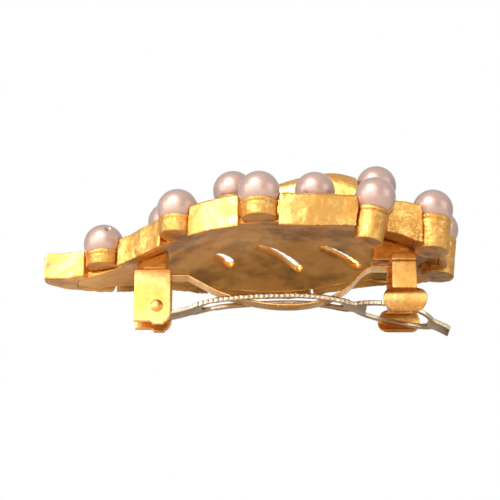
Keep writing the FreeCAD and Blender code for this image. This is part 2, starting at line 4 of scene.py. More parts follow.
import bpy
from bpy.props import FloatProperty, FloatVectorProperty, IntProperty, PointerProperty
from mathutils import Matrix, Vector


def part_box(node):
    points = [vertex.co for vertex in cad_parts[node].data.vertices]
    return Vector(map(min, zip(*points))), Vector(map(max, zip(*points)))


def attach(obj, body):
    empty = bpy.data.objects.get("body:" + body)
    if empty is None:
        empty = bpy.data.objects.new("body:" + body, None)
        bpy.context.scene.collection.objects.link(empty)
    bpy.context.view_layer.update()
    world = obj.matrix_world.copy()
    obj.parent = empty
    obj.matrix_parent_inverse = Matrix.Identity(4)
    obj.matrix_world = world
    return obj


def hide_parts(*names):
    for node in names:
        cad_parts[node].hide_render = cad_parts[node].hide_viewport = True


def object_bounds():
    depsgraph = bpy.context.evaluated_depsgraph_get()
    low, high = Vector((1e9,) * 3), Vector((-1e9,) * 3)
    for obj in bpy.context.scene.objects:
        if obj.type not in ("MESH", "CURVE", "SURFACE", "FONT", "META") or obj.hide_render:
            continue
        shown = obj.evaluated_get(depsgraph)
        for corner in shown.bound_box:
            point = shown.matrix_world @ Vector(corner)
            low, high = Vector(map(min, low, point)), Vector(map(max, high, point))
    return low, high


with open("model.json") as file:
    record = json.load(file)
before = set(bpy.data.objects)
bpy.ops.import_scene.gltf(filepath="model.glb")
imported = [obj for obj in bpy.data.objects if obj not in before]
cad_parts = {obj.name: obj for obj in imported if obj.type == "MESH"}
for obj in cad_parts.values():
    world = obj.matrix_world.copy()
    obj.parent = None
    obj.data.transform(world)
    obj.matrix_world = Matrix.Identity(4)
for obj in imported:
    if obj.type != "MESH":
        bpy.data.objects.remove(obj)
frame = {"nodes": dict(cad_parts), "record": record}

bl_info = {
    "name": "Leaf Barrette",
    "version": (1, 0, 0),
    "blender": (4, 5, 0),
    "location": "View3D > Sidebar > Barrette",
    "description": "Finishes a pearl-set gilt leaf barrette round its CAD frame",
    "category": "Object",
}

MM = 0.001                    # metres in a millimetre
WORK_SCALE = 1000.0           # meshes are worked at a thousand times life size, then put back

CAD_BOX = [list(corner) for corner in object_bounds()]

BODY_OF_NODE = {node: body for body, nodes in frame["record"]["behaviour"]["bodies"].items()
                for node in nodes}

# voxel size in millimetres and smoothing passes of each kind of piece
LEAF_FINISH = (0.30, 6)
WALL_FINISH = (0.22, 10)
CUP_FINISH = (0.16, 3)
PETAL_FINISH = (0.20, 8)
PAD_FINISH = (0.16, 6)
BRACKET_FINISH = (0.13, 4)
PIN_FINISH = (0.07, 3)
RIVET_FINISH = (0.07, 2)
BAR_FINISH = (0.10, 2)
CATCH_FINISH = (0.11, 4)
ARM_FINISH = (0.11, 2)

# solder between the walls and cups of the broad end, in millimetres
NUGGET_PLACES = [(26.4, -15.4, 16.8), (30.4, -13.8, 17.6), (31.4, -12.8, 15.6)]
NUGGET_REACH = 2.6            # from the middle of a cluster to its edge
NUGGET_GRAIN = 0.8            # size of one lump

# clasp arm, in millimetres
LOOP_RADIUS = 5.6
LOOP_BACK = 10.2              # middle of the loop, measured from the end of the tab
LOOP_REACH = 3.5              # rails turn into the loop this far before its middle
MILLING_LENGTH = 40.0         # the milled edge starts this far before the middle of the loop
MILLING_END = 3.6             # and ends this far past it, where the tab begins
RIB_START = 36.0              # the pressed rib runs between these two distances before it
RIB_END = 9.5
RAIL_INNER = 2.05             # half width of the arm's slot
RAIL_OUTER = 2.60             # just inside the arm's outer edge
BEAD_GROOVE = 0.4             # share of each bead's length that is sunk

# stage, in metres
FLOOR_SIZE = 2.0
FLOOR_GAP = 0.0001            # under the lowest point of the object
AIM_OFFSET = Vector((-0.0008, 0, 0.0003))     # from the middle of the object to the aim point
SENSOR_WIDTH = 36.0           # millimetres
NEAREST_SEEN = 0.01
WORLD_LIGHT = 0.62            # strength of the white world for all but the camera

# direction from the object, distance and size of each panel of light
LIGHTS = {
    "key": ((-0.45, -0.8, 0.75), 0.55, 0.22),
    "front": ((-0.35, -0.9, 0.35), 0.50, 0.55),
    "side": ((-0.95, -0.5, 0.22), 0.40, 0.26),
    "fill": ((0.9, -0.5, 0.25), 0.60, 0.35),
}

# direction of each pearl's stringing hole
HOLE_DIRECTIONS = {
    "rim_pearl_1": (0.25, -0.80, 0.54), "rim_pearl_2": (0.1, 0.3, 1.0),
    "rim_pearl_3": (0.3, 0.1, 1.0), "rim_pearl_4": (0.5, 0.2, 1.0),
    "rim_pearl_5": (1.0, -0.15, -0.10), "rim_pearl_6": (0.2, 1.0, 0.6),
    "centre_pearl_1": (0.2, 0.4, 1.0), "centre_pearl_2": (-0.3, 0.2, 1.0),
    "centre_pearl_3": (0.1, 0.6, 1.0), "centre_pearl_4": (0.4, -0.1, 1.0),
    "centre_pearl_5": (-0.2, 0.8, 0.6), "centre_pearl_6": (0.1, 0.2, 1.0),
    "centre_pearl_7": (-0.4, 0.5, 1.0),
}


# ---- settings ------------------------------------------------------------------------------
class BarretteGold(bpy.types.PropertyGroup):
    """Colours of the gold plate and how rough the casting is."""
    light: FloatVectorProperty(
        name="Light gold", description="Colour of the plate where it is clean and thick",
        subtype="COLOR", size=3, min=0, max=1, default=(1.0, 0.57, 0.165))
    deep: FloatVectorProperty(
        name="Deep gold", description="Colour of the plate where it is thin or tarnished",
        subtype="COLOR", size=3, min=0, max=1, default=(0.82, 0.40, 0.09))
    # Colour of the painted shade on what faces down; its dark smudges are a darker copy of it.
    underside_shade: FloatVectorProperty(
        name="Underside shade", description="Brown film on the back of the leaf",
        subtype="COLOR", size=3, min=0, max=1, default=(0.66, 0.31, 0.075))
    wander: FloatProperty(
        name="Casting wander", description="How far the cast surface wanders, in millimetres",
        min=0, max=1, default=0.22)
    # Painted shade: darkens the cups' copy of the gold.
    cup_shade: FloatProperty(
        name="Cup shade", description="Brightness of the cups' plate beside the walls' plate",
        min=0, max=1, default=0.78)
    nuggets: FloatProperty(
        name="Solder nuggets", description="Height of the solder lumps, in millimetres",
        min=0, max=1, default=0.4)
    clip_light: FloatVectorProperty(
        name="Clip gold", description="Colour of the plate on the clip's sheet parts",
        subtype="COLOR", size=3, min=0, max=1, default=(1.0, 0.62, 0.22))


class BarrettePearl(bpy.types.PropertyGroup):
    """Lacquer of the faux pearls."""
    body: FloatVectorProperty(
        name="Lacquer", description="Colour of the lacquer seen straight on",
        subtype="COLOR", size=3, min=0, max=1, default=(0.52, 0.33, 0.26))
    limb: FloatVectorProperty(
        name="Lacquer at the edge", description="Colour of the lacquer seen at a slant",
        subtype="COLOR", size=3, min=0, max=1, default=(0.20, 0.095, 0.07))
    segments: IntProperty(
        name="Segments", description="Faces round each pearl", min=24, max=128, default=80)
    hole_rings: IntProperty(
        name="Hole rings", description="Rings of faces that the stringing hole takes away",
        min=1, max=6, default=2)


class BarretteClip(bpy.types.PropertyGroup):
    """Finish of the clasp arm."""
    nickel: FloatVectorProperty(
        name="Nickel", description="Colour of the arm's pale plate",
        subtype="COLOR", size=3, min=0, max=1, default=(0.72, 0.57, 0.38))
    mill_pitch: FloatProperty(
        name="Milling pitch", description="Length of one bead of the milled edge, in millimetres",
        min=0.3, max=3, default=1.0)
    mill_depth: FloatProperty(
        name="Milling depth", description="Depth between two beads, in millimetres",
        min=0, max=0.5, default=0.12)
    rib_height: FloatProperty(
        name="Rib height", description="Height of the pressed rib along each rail, in millimetres",
        min=0, max=0.4, default=0.14)


class BarretteStage(bpy.types.PropertyGroup):
    """Camera, lights and floor."""
    azimuth: FloatProperty(
        name="Azimuth", description="Turn of the camera round the object",
        subtype="ANGLE", default=0.0)
    elevation: FloatProperty(
        name="Elevation", description="Height of the camera above the horizon",
        subtype="ANGLE", default=math.radians(-20.0))
    distance: FloatProperty(
        name="Distance", description="From the camera to the middle of the object",
        subtype="DISTANCE", unit="LENGTH", default=0.35)
    field: FloatProperty(
        name="Field width", description="Width seen by the camera at the object",
        subtype="DISTANCE", unit="LENGTH", default=0.100)
    floor_colour: FloatVectorProperty(
        name="Floor", description="Colour of the floor", subtype="COLOR", size=3,
        min=0, max=1, default=(0.80, 0.79, 0.77))
    key_power: FloatProperty(
        name="Key light", description="Power of the small soft light high at the front left",
        unit="POWER", min=0, default=2.4)
    front_power: FloatProperty(
        name="Front light", description="Power of the broad panel in front",
        unit="POWER", min=0, default=1.5)
    side_power: FloatProperty(
        name="Side light", description="Power of the panel at the left",
        unit="POWER", min=0, default=0.45)
    fill_power: FloatProperty(
        name="Fill light", description="Power of the soft light at the right",
        unit="POWER", min=0, default=0.5)


# ---- mesh helpers ----------------------------------------------------------------------------
def only(piece):
    """Leaves one object selected and active, in object mode."""
    if bpy.context.object and bpy.context.object.mode != "OBJECT":
        bpy.ops.object.mode_set(mode="OBJECT")
    bpy.ops.object.select_all(action="DESELECT")
    piece.select_set(True)
    bpy.context.view_layer.objects.active = piece


def resize_mesh(piece, factor):
    """Scales a piece's mesh about the frame's origin."""
    only(piece)
    bpy.ops.object.mode_set(mode="EDIT")
    bpy.ops.mesh.select_all(action="SELECT")
    bpy.ops.transform.resize(value=(factor,) * 3, center_override=(0, 0, 0))
    bpy.ops.object.mode_set(mode="OBJECT")


def merged_copy(node, name):
    """A copy of a CAD node's mesh as a new piece at working scale, with its corners merged."""
    piece = bpy.data.objects.new(name, frame["nodes"][node].data.copy())
    bpy.context.scene.collection.objects.link(piece)
    piece.data.materials.clear()
    resize_mesh(piece, WORK_SCALE)
    bpy.ops.object.mode_set(mode="EDIT")
    bpy.ops.mesh.select_all(action="SELECT")
    bpy.ops.mesh.remove_doubles(threshold=0.001)
    bpy.ops.object.mode_set(mode="OBJECT")
    return piece


def add_and_apply(piece, kind, **values):
    """Adds a modifier with the given settings and applies it at once."""
    only(piece)
    modifier = piece.modifiers.new(kind.lower(), kind)
    for key, value in values.items():
        setattr(modifier, key, value)
    bpy.ops.object.modifier_apply(modifier=modifier.name)


def clouds(name, size, depth=2):
    """Soft lumpy texture for a displacement, of the given size in millimetres."""
    texture = bpy.data.textures.get(name) or bpy.data.textures.new(name, "CLOUDS")
    texture.noise_scale = size
    texture.noise_depth = depth
    texture.noise_basis = "ORIGINAL_PERLIN"
    return texture


def round_over(piece, voxel, passes):
    """Even quads all over and soft edges, as plating and polishing leave them."""
    add_and_apply(piece, "REMESH", mode="VOXEL", voxel_size=voxel)
    add_and_apply(piece, "SMOOTH", factor=0.5, iterations=passes)


def wander(piece, texture, amount, grow=0.0):
    """Lets the surface wander by a lumpy texture, and stands it out evenly by `grow`."""
    add_and_apply(piece, "DISPLACE", texture=texture, texture_coords="LOCAL",
                  strength=amount, mid_level=0.5 - grow / max(amount, 0.001))


def solder_nuggets(piece, height):
    """Small knobbly lumps of solder where the walls and cups of the broad end were joined."""
    group = piece.vertex_groups.new(name="nuggets")
    touched = False
    for vertex in piece.data.vertices:
        near = min((vertex.co - Vector(place)).length for place in NUGGET_PLACES)
        if near < NUGGET_REACH:
            group.add([vertex.index], 1.0 - near / NUGGET_REACH, "REPLACE")
            touched = True
    if touched:
        texture = bpy.data.textures.get("nuggets") or bpy.data.textures.new("nuggets", "VORONOI")
        texture.noise_scale = NUGGET_GRAIN
        add_and_apply(piece, "DISPLACE", texture=texture, texture_coords="LOCAL",
                      vertex_group="nuggets", strength=-height * 2, mid_level=0.8)
    piece.vertex_groups.clear()


def finish_piece(piece, node, material):
    """Puts a worked piece back to life size, in its material and on its node's body."""
    resize_mesh(piece, 1 / WORK_SCALE)
    settle(piece, node, material)


def settle(piece, node, material):
    """Gives a piece smooth shading and its material, hides the CAD node that it stands for, and
    hangs it on that node's body.
    """
    only(piece)
    bpy.ops.object.shade_smooth()
    piece.data.materials.clear()
    piece.data.materials.append(material)
    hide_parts(node)
    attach(piece, BODY_OF_NODE[node])


def select_vertices(piece, test):
    """Selects the vertices that pass the test, and stays in edit mode."""
    only(piece)
    bpy.ops.object.mode_set(mode="EDIT")
    bpy.ops.mesh.select_mode(type="VERT")
    bpy.ops.mesh.select_all(action="DESELECT")
    bpy.ops.object.mode_set(mode="OBJECT")
    for vertex in piece.data.vertices:
        vertex.select = test(vertex.co, vertex.normal)
    bpy.ops.object.mode_set(mode="EDIT")


def nodes_starting(word):
    """Names of the CAD nodes that start with a word, in order."""
    return sorted(name for name in frame["nodes"] if name.startswith(word))


# ---- materials -------------------------------------------------------------------------------
def group_sockets(group, inputs, outputs):
    """Names a group's inputs and outputs, and returns its two end nodes."""
    for name, kind, value in inputs:
        socket = group.interface.new_socket(name, in_out="INPUT", socket_type=kind)
        socket.default_value = value
    for name, kind in outputs:
        group.interface.new_socket(name, in_out="OUTPUT", socket_type=kind)
    return group.nodes.new("NodeGroupInput"), group.nodes.new("NodeGroupOutput")


def node(tree, kind, **values):
    """New shader node; each value goes to the input or the property of that name."""
    made = tree.nodes.new(kind)
    for key, value in values.items():
        if key in made.inputs:
            made.inputs[key].default_value = value
        else:
            setattr(made, key, value)
    return made


def math_node(tree, operation, a, b):
    """Output of a sum on two values, each a number or another node's output."""
    made = node(tree, "ShaderNodeMath", operation=operation)
    for socket, value in zip(made.inputs, (a, b)):
        if isinstance(value, (int, float)):
            socket.default_value = value
        else:
            tree.links.new(value, socket)
    return made.outputs[0]


def noise(tree, vector, scale, detail=3.0, roughness=0.5, stretch=None):
    """Noise on object coordinates; scale is in lumps per millimetre."""
    if stretch:
        mapping = node(tree, "ShaderNodeMapping")
        mapping.inputs["Scale"].default_value = stretch
        tree.links.new(vector, mapping.inputs["Vector"])
        vector = mapping.outputs[0]
    made = node(tree, "ShaderNodeTexNoise", Detail=detail, Roughness=roughness)
    tree.links.new(vector, made.inputs["Vector"])
    if isinstance(scale, (int, float)):
        made.inputs["Scale"].default_value = scale / MM
    else:
        tree.links.new(math_node(tree, "DIVIDE", scale, MM), made.inputs["Scale"])
    return made.outputs["Fac"]


def spread(tree, value, low, high):
    """Stretches a narrow range of values to 0..1."""
    made = node(tree, "ShaderNodeMapRange", interpolation_type="SMOOTHSTEP")
    made.inputs["From Min"].default_value = low
    made.inputs["From Max"].default_value = high
    tree.links.new(value, made.inputs["Value"])
    return made.outputs["Result"]


def mix_colour(tree, fac, a, b):
    """Mix of two colours by a factor, each given as a value or another node's output."""
    made = node(tree, "ShaderNodeMix", data_type="RGBA")
    for socket, value in ((made.inputs["Factor"], fac), (made.inputs[6], a), (made.inputs[7], b)):
        if isinstance(value, (int, float)):
            socket.default_value = value
        elif hasattr(value, "__len__"):
            socket.default_value = tuple(value)[:3] + (1.0,)
        else:
            tree.links.new(value, socket)
    return made.outputs[2]


def plate_wear_group():
    """Shared look of plated metal: mottling of the colour, pits and fine scratches."""
    group = bpy.data.node_groups.get("plate_wear")
    if group:
        return group
    group = bpy.data.node_groups.new("plate_wear", "ShaderNodeTree")
    source, result = group_sockets(
        group,
        [("Mottle scale", "NodeSocketFloat", 0.35), ("Pit scale", "NodeSocketFloat", 2.2),
         ("Scratch scale", "NodeSocketFloat", 1.2), ("Pit depth", "NodeSocketFloat", 0.5),
         ("Scratch depth", "NodeSocketFloat", 0.5)],
        [("Mottle", "NodeSocketFloat"), ("Grime", "NodeSocketFloat"),
         ("Height", "NodeSocketFloat")])
    place = node(group, "ShaderNodeTexCoord").outputs["Object"]
    mottle = spread(group, noise(group, place, source.outputs["Mottle scale"], 4.0, 0.6),
                    0.36, 0.66)
    grime = spread(group, noise(group, place, source.outputs["Pit scale"], 5.0, 0.65), 0.30, 0.52)
    fine = noise(group, place, 9.0, 2.0)
    scratch = noise(group, place, source.outputs["Scratch scale"], 3.0, 0.6, (1.0, 1.0, 9.0))
    height = math_node(group, "ADD",
                       math_node(group, "MULTIPLY", grime, source.outputs["Pit depth"]),
                       math_node(group, "MULTIPLY", scratch, source.outputs["Scratch depth"]))
    height = math_node(group, "ADD", height, math_node(group, "MULTIPLY", fine, 0.15))
    group.links.new(mottle, result.inputs["Mottle"])
    group.links.new(grime, result.inputs["Grime"])
    group.links.new(height, result.inputs["Height"])
    return group


def new_material(name):
    """New material, with its node tree and its shader."""
    material = bpy.data.materials.new(name)
    material.use_nodes = True
    tree = material.node_tree
    return material, tree, tree.nodes["Principled BSDF"]


def wear_in(tree, **values):
    """The shared wear, with this material's own scales and depths."""
    made = node(tree, "ShaderNodeGroup", node_tree=plate_wear_group())
    for key, value in values.items():
        made.inputs[key.replace("_", " ").capitalize()].default_value = value
    return made


def bump(tree, shader, height, distance):
    """Raises the surface by a height map, up to a distance in metres."""
    made = node(tree, "ShaderNodeBump", Strength=1.0, Distance=distance)
    tree.links.new(height, made.inputs["Height"])
    tree.links.new(made.outputs["Normal"], shader.inputs["Normal"])


def rough_from(tree, shader, value, low, high):
    """Roughness that runs from low to high as the value runs from 0 to 1."""
    made = node(tree, "ShaderNodeMapRange")
    made.inputs["To Min"].default_value = low
    made.inputs["To Max"].default_value = high
    tree.links.new(value, made.inputs["Value"])
    tree.links.new(made.outputs["Result"], shader.inputs["Roughness"])


def gilt_material(name, light, deep, rough, mottle, pits, scratches, bump_depth, underside_shade=None):
    """Gold plate, with painted shade and random dark smudges on what faces down, a painted
    highlight on convex edges and painted shade in hollows.

    rough is the range of roughness, mottle the lumps of colour in each millimetre, and pits and
    scratches give their own number in each millimetre and their depth.
    """
    if name in bpy.data.materials:
        return bpy.data.materials[name]
    material, tree, shader = new_material(name)
    wear = wear_in(tree, mottle_scale=mottle, pit_scale=pits[0], scratch_scale=scratches[0],
                   pit_depth=pits[1], scratch_depth=scratches[1])
    colour = mix_colour(tree, wear.outputs["Mottle"], deep, light)
    # Painted highlight: convex edges are mixed toward a brighter gold.
    edge = node(tree, "ShaderNodeNewGeometry").outputs["Pointiness"]
    colour = mix_colour(tree, math_node(tree, "MULTIPLY", spread(tree, edge, 0.52, 0.60), 0.7),
                        colour, [min(1.0, c * 1.15) for c in light])
    # Painted shade: hollows and creases are mixed toward a dark gold.
    hollow = math_node(tree, "SUBTRACT", 1.0, spread(tree, edge, 0.40, 0.49))
    colour = mix_colour(tree, math_node(tree, "MULTIPLY", hollow, 0.75), colour,
                        [c * 0.45 for c in deep])
    grimy = math_node(tree, "SUBTRACT", 1.0, wear.outputs["Grime"])
    colour = mix_colour(tree, math_node(tree, "MULTIPLY", grimy, 0.45), colour,
                        [c * 0.5 for c in deep])
    # Painted shade on what faces down, by the underside attribute, with random dark smudges in it.
    if underside_shade is not None:
        back = node(tree, "ShaderNodeAttribute", attribute_name="underside").outputs["Fac"]
        place = node(tree, "ShaderNodeTexCoord").outputs["Object"]
        smudge = spread(tree, noise(tree, place, 0.13, 3.0, 0.55), 0.42, 0.66)
        shading = mix_colour(tree, math_node(tree, "MULTIPLY", smudge, 0.75), underside_shade,
                          [c * 0.22 for c in underside_shade])
        colour = mix_colour(tree, math_node(tree, "MULTIPLY", back, 0.88), colour, shading)
    tree.links.new(colour, shader.inputs["Base Color"])
    shader.inputs["Metallic"].default_value = 1.0
    rough_from(tree, shader, wear.outputs["Mottle"], rough[1], rough[0])
    bump(tree, shader, wear.outputs["Height"], bump_depth * MM)
    return material


def casting_material():
    gold = bpy.context.scene.barrette_gold
    return gilt_material("cast_gold", gold.light, gold.deep, rough=(0.24, 0.42), mottle=0.30,
                         pits=(1.6, 0.35), scratches=(0.9, 0.5), bump_depth=0.05,
                         underside_shade=gold.underside_shade)


def leaf_material():
    gold = bpy.context.scene.barrette_gold
    return gilt_material("leaf_gold", gold.light, gold.deep, rough=(0.30, 0.50), mottle=0.16,
                         pits=(0.7, 0.35), scratches=(0.5, 0.3), bump_depth=0.05,
                         underside_shade=gold.underside_shade)


def cup_material():
    gold = bpy.context.scene.barrette_gold
    # Painted shade: the cups' gold is the walls' gold darkened by cup_shade.
    light = [c * gold.cup_shade for c in gold.light]
    deep = [c * gold.cup_shade for c in gold.deep]
    return gilt_material("cup_gold", light, deep, rough=(0.32, 0.48), mottle=0.45,
                         pits=(2.6, 0.7), scratches=(1.6, 0.4), bump_depth=0.055,
                         underside_shade=gold.underside_shade)


def clip_material():
    gold = bpy.context.scene.barrette_gold
    return gilt_material("sheet_gold", gold.clip_light, gold.deep, rough=(0.22, 0.34),
                         mottle=0.18, pits=(1.2, 0.2), scratches=(2.0, 0.5), bump_depth=0.02)


def nickel_material():
    name = "pale_nickel"
    if name in bpy.data.materials:
        return bpy.data.materials[name]
    material, tree, shader = new_material(name)
    wear = wear_in(tree, mottle_scale=0.25, pit_scale=1.8, scratch_scale=1.5, pit_depth=0.3,
                   scratch_depth=0.6)
    nickel = bpy.context.scene.barrette_clip.nickel
    colour = mix_colour(tree, wear.outputs["Mottle"], [c * 0.72 for c in nickel], nickel)
    # Painted highlight: convex edges and the milled beads are mixed toward a pale yellow glint.
    edge = node(tree, "ShaderNodeNewGeometry").outputs["Pointiness"]
    colour = mix_colour(tree, spread(tree, edge, 0.52, 0.62), colour, (0.95, 0.84, 0.60))
    # Painted shade: hollows and the grooves between beads are mixed toward near black.
    hollow = math_node(tree, "SUBTRACT", 1.0, spread(tree, edge, 0.38, 0.49))
    colour = mix_colour(tree, math_node(tree, "MULTIPLY", hollow, 0.8), colour,
                        (0.16, 0.11, 0.06))
    tree.links.new(colour, shader.inputs["Base Color"])
    shader.inputs["Metallic"].default_value = 1.0
    rough_from(tree, shader, wear.outputs["Mottle"], 0.30, 0.16)
    bump(tree, shader, wear.outputs["Height"], 0.015 * MM)
    return material


def pearl_material():
    name = "pearl_lacquer"
    if name in bpy.data.materials:
        return bpy.data.materials[name]
    material, tree, shader = new_material(name)
    pearl = bpy.context.scene.barrette_pearl
    slant = node(tree, "ShaderNodeLayerWeight", Blend=0.42).outputs["Facing"]
    cloudy = noise(tree, node(tree, "ShaderNodeTexCoord").outputs["Object"], 0.25, 3.0)
    body = mix_colour(tree, spread(tree, cloudy, 0.35, 0.65), [c * 0.92 for c in pearl.body],
                      pearl.body)
    colour = mix_colour(tree, spread(tree, slant, 0.25, 0.95), body, pearl.limb)
    tree.links.new(colour, shader.inputs["Base Color"])
    shader.inputs["Metallic"].default_value = 0.55
    shader.inputs["Roughness"].default_value = 0.36
    shader.inputs["Coat Weight"].default_value = 1.0
    shader.inputs["Coat Roughness"].default_value = 0.10
    shader.inputs["Coat IOR"].default_value = 1.5
    shader.inputs["Sheen Weight"].default_value = 0.2
    shader.inputs["Sheen Roughness"].default_value = 0.5
    return material


# ---- pieces ----------------------------------------------------------------------------------
class BARRETTE_OT_leaf(bpy.types.Operator):
    """Domed leaf plate with its three open veins, with painted shade on its back"""
    bl_idname = "barrette.leaf"
    bl_label = "Leaf plate"

    def execute(self, context):
        piece = merged_copy("leaf_plate", "leaf")
        round_over(piece, *LEAF_FINISH)
        wander(piece, clouds("leaf_lumps", 5.0), context.scene.barrette_gold.wander * 1.6, 0.02)
        mark_underside(piece)
        finish_piece(piece, "leaf_plate", leaf_material())
        return {"FINISHED"}


def mark_underside(piece):
    """Stores how much each point of a piece faces down, for the painted shade on the underside."""
    marks = piece.data.attributes.new("underside", "FLOAT", "POINT")
    for vertex in piece.data.vertices:
        marks.data[vertex.index].value = min(1.0, max(0.0, -vertex.normal.z * 1.6))


class BARRETTE_OT_rim_walls(bpy.types.Operator):
    """Ribbon walls that stand round the leaf between the cups"""
    bl_idname = "barrette.rim_walls"
    bl_label = "Rim walls"

    def execute(self, context):
        texture = clouds("wall_lumps", 2.2)
        slow = clouds("wall_waves", 6.0)
        for name in nodes_starting("rim_wall"):
            piece = merged_copy(name, name.replace("rim_wall", "ribbon"))
            round_over(piece, *WALL_FINISH)
            wander(piece, slow, context.scene.barrette_gold.wander * 3)
            wander(piece, texture, context.scene.barrette_gold.wander * 1.5)
            solder_nuggets(piece, context.scene.barrette_gold.nuggets)
            mark_underside(piece)
            finish_piece(piece, name, casting_material())
        return {"FINISHED"}


class BARRETTE_OT_cups(bpy.types.Operator):
    """Cast cups that hold the pearls, on the rim and inside it"""
    bl_idname = "barrette.cups"
    bl_label = "Pearl cups"

    def execute(self, context):
        texture = clouds("cup_lumps", 1.3, 3)
        for name in nodes_starting("rim_cup") + nodes_starting("centre_cup"):
            piece = merged_copy(name, name.replace("cup", "setting"))
            round_over(piece, *CUP_FINISH)
            wander(piece, texture, context.scene.barrette_gold.wander * 1.2)
            solder_nuggets(piece, context.scene.barrette_gold.nuggets)
            mark_underside(piece)
            finish_piece(piece, name, cup_material())
        return {"FINISHED"}


class BARRETTE_OT_petal(bpy.types.Operator):
    """Curled petal on the leaf, smooth outside and hollow at its broad end"""
    bl_idname = "barrette.petal"
    bl_label = "Petal"

    def execute(self, context):
        piece = merged_copy("centre_petal", "petal")
        round_over(piece, *PETAL_FINISH)
        wander(piece, clouds("petal_lumps", 4.0), context.scene.barrette_gold.wander * 1.4)
        finish_piece(piece, "centre_petal", casting_material())
        return {"FINISHED"}


class BARRETTE_OT_bosses(bpy.types.Operator):
    """Cast pads that join the leaf to the clip"""
    bl_idname = "barrette.bosses"
    bl_label = "Bosses"

    def execute(self, context):
        for name in ("hinge_boss", "catch_boss"):
            piece = merged_copy(name, name.replace("boss", "pad"))
            round_over(piece, *PAD_FINISH)
            wander(piece, clouds("pad_lumps", 1.8), context.scene.barrette_gold.wander * 1.6)
            finish_piece(piece, name, casting_material())
        return {"FINISHED"}


class BARRETTE_OT_pearls(bpy.types.Operator):
    """Lacquered faux pearls with a stringing hole right through"""
    bl_idname = "barrette.pearls"
    bl_label = "Pearls"

    def execute(self, context):
        names = nodes_starting("rim_pearl") + nodes_starting("centre_pearl")
        low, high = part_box("rim_pearl_2")
        model = model_pearl((high.z - low.z) / 2 / MM, context.scene.barrette_pearl)
        for name in names:
            piece = bpy.data.objects.new(name.replace("pearl", "bead"), model.data.copy())
            context.scene.collection.objects.link(piece)
            turn = Vector(HOLE_DIRECTIONS[name]).to_track_quat("Z", "Y")
            low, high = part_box(name)
            piece.rotation_mode = "QUATERNION"
            piece.rotation_quaternion = turn
            piece.scale = (MM,) * 3
            piece.location = (low + high) / 2
            only(piece)
            bpy.ops.object.transform_apply(location=True, rotation=True, scale=True)
            settle(piece, name, pearl_material())
        bpy.data.objects.remove(model)
        return {"FINISHED"}


def model_pearl(radius, settings):
    """One pearl about the origin, in millimetres, with its hole along Z."""
    bpy.ops.object.select_all(action="DESELECT")
    rings = settings.segments * 3 // 4
    bpy.ops.mesh.primitive_uv_sphere_add(segments=settings.segments, ring_count=rings,
                                         radius=radius, location=(0, 0, 0))
    pearl = bpy.context.object
    cap_height = radius * math.cos(math.pi / rings * (settings.hole_rings + 0.5))
    select_vertices(pearl, lambda co, n: abs(co.z) > cap_height)
    bpy.ops.mesh.delete(type="VERT")
    bpy.ops.object.mode_set(mode="OBJECT")
    rim_height = radius * math.cos(math.pi / rings * (settings.hole_rings + 1.5))
    select_vertices(pearl, lambda co, n: abs(co.z) > rim_height)
    bpy.ops.mesh.bridge_edge_loops(number_cuts=3)
    bpy.ops.object.mode_set(mode="OBJECT")
    return pearl


class BARRETTE_OT_hinge(bpy.types.Operator):
    """Folded hinge bracket, its riveted pin and the rivets of the clip"""
    bl_idname = "barrette.hinge"
    bl_label = "Hinge"

    def execute(self, context):
        for name, made, finish in (("hinge_bracket", "bracket", BRACKET_FINISH),
                                   ("hinge_pin", "pin", PIN_FINISH),
                                   ("hinge_rivet", "bar_rivet", RIVET_FINISH),
                                   ("catch_rivet", "plate_rivet", RIVET_FINISH)):
            piece = merged_copy(name, made)
            round_over(piece, *finish)
            finish_piece(piece, name, clip_material())
        return {"FINISHED"}


class BARRETTE_OT_tension_bar(bpy.types.Operator):
    """Bowed gold spring strip between the two brackets"""
    bl_idname = "barrette.tension_bar"
    bl_label = "Tension bar"

    def execute(self, context):
        piece = merged_copy("tension_bar", "bow")
        round_over(piece, *BAR_FINISH)
        finish_piece(piece, "tension_bar", clip_material())
        return {"FINISHED"}


class BARRETTE_OT_catch(bpy.types.Operator):
    """Catch plate and its two sprung prongs with pill-shaped lips"""
    bl_idname = "barrette.catch"
    bl_label = "Catch"

    def execute(self, context):
        for name, made in (("catch_plate", "catch_base"), ("near_prong", "near_spring"),
                           ("far_prong", "far_spring")):
            piece = merged_copy(name, made)
            round_over(piece, *CATCH_FINISH)
            finish_piece(piece, name, clip_material())
        return {"FINISHED"}


class BARRETTE_OT_clasp_arm(bpy.types.Operator):
    """Pale slotted clasp arm with milled edges, a loop and a finger tab"""
    bl_idname = "barrette.clasp_arm"
    bl_label = "Clasp arm"

    def execute(self, context):
        clip = context.scene.barrette_clip
        piece = merged_copy("clasp_arm", "clasp")
        round_over(piece, *ARM_FINISH)
        low, high = (Vector(corner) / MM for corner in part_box("clasp_arm"))
        middle_y = (low.y + high.y) / 2
        loop_x = high.x - LOOP_BACK
        select_vertices(piece, lambda co, n: on_milled_edge(co, n, loop_x, middle_y)
                        and bead_phase(co, loop_x, middle_y, clip.mill_pitch) < BEAD_GROOVE)
        bpy.ops.transform.shrink_fatten(value=-clip.mill_depth)
        bpy.ops.object.mode_set(mode="OBJECT")
        select_vertices(piece, lambda co, n: on_rib(co, n, loop_x, middle_y))
        bpy.ops.transform.shrink_fatten(value=clip.rib_height)
        bpy.ops.object.mode_set(mode="OBJECT")
        add_and_apply(piece, "SMOOTH", factor=0.4, iterations=1)
        finish_piece(piece, "clasp_arm", nickel_material())
        return {"FINISHED"}


def bead_phase(co, loop_x, middle_y, pitch):
    """Place within one bead, 0 to 1, along the arm and then round its loop."""
    if co.x < loop_x - LOOP_REACH:
        return (co.x / pitch) % 1.0
    turn = math.atan2(co.y - middle_y, co.x - loop_x)
    return (turn * LOOP_RADIUS / pitch) % 1.0


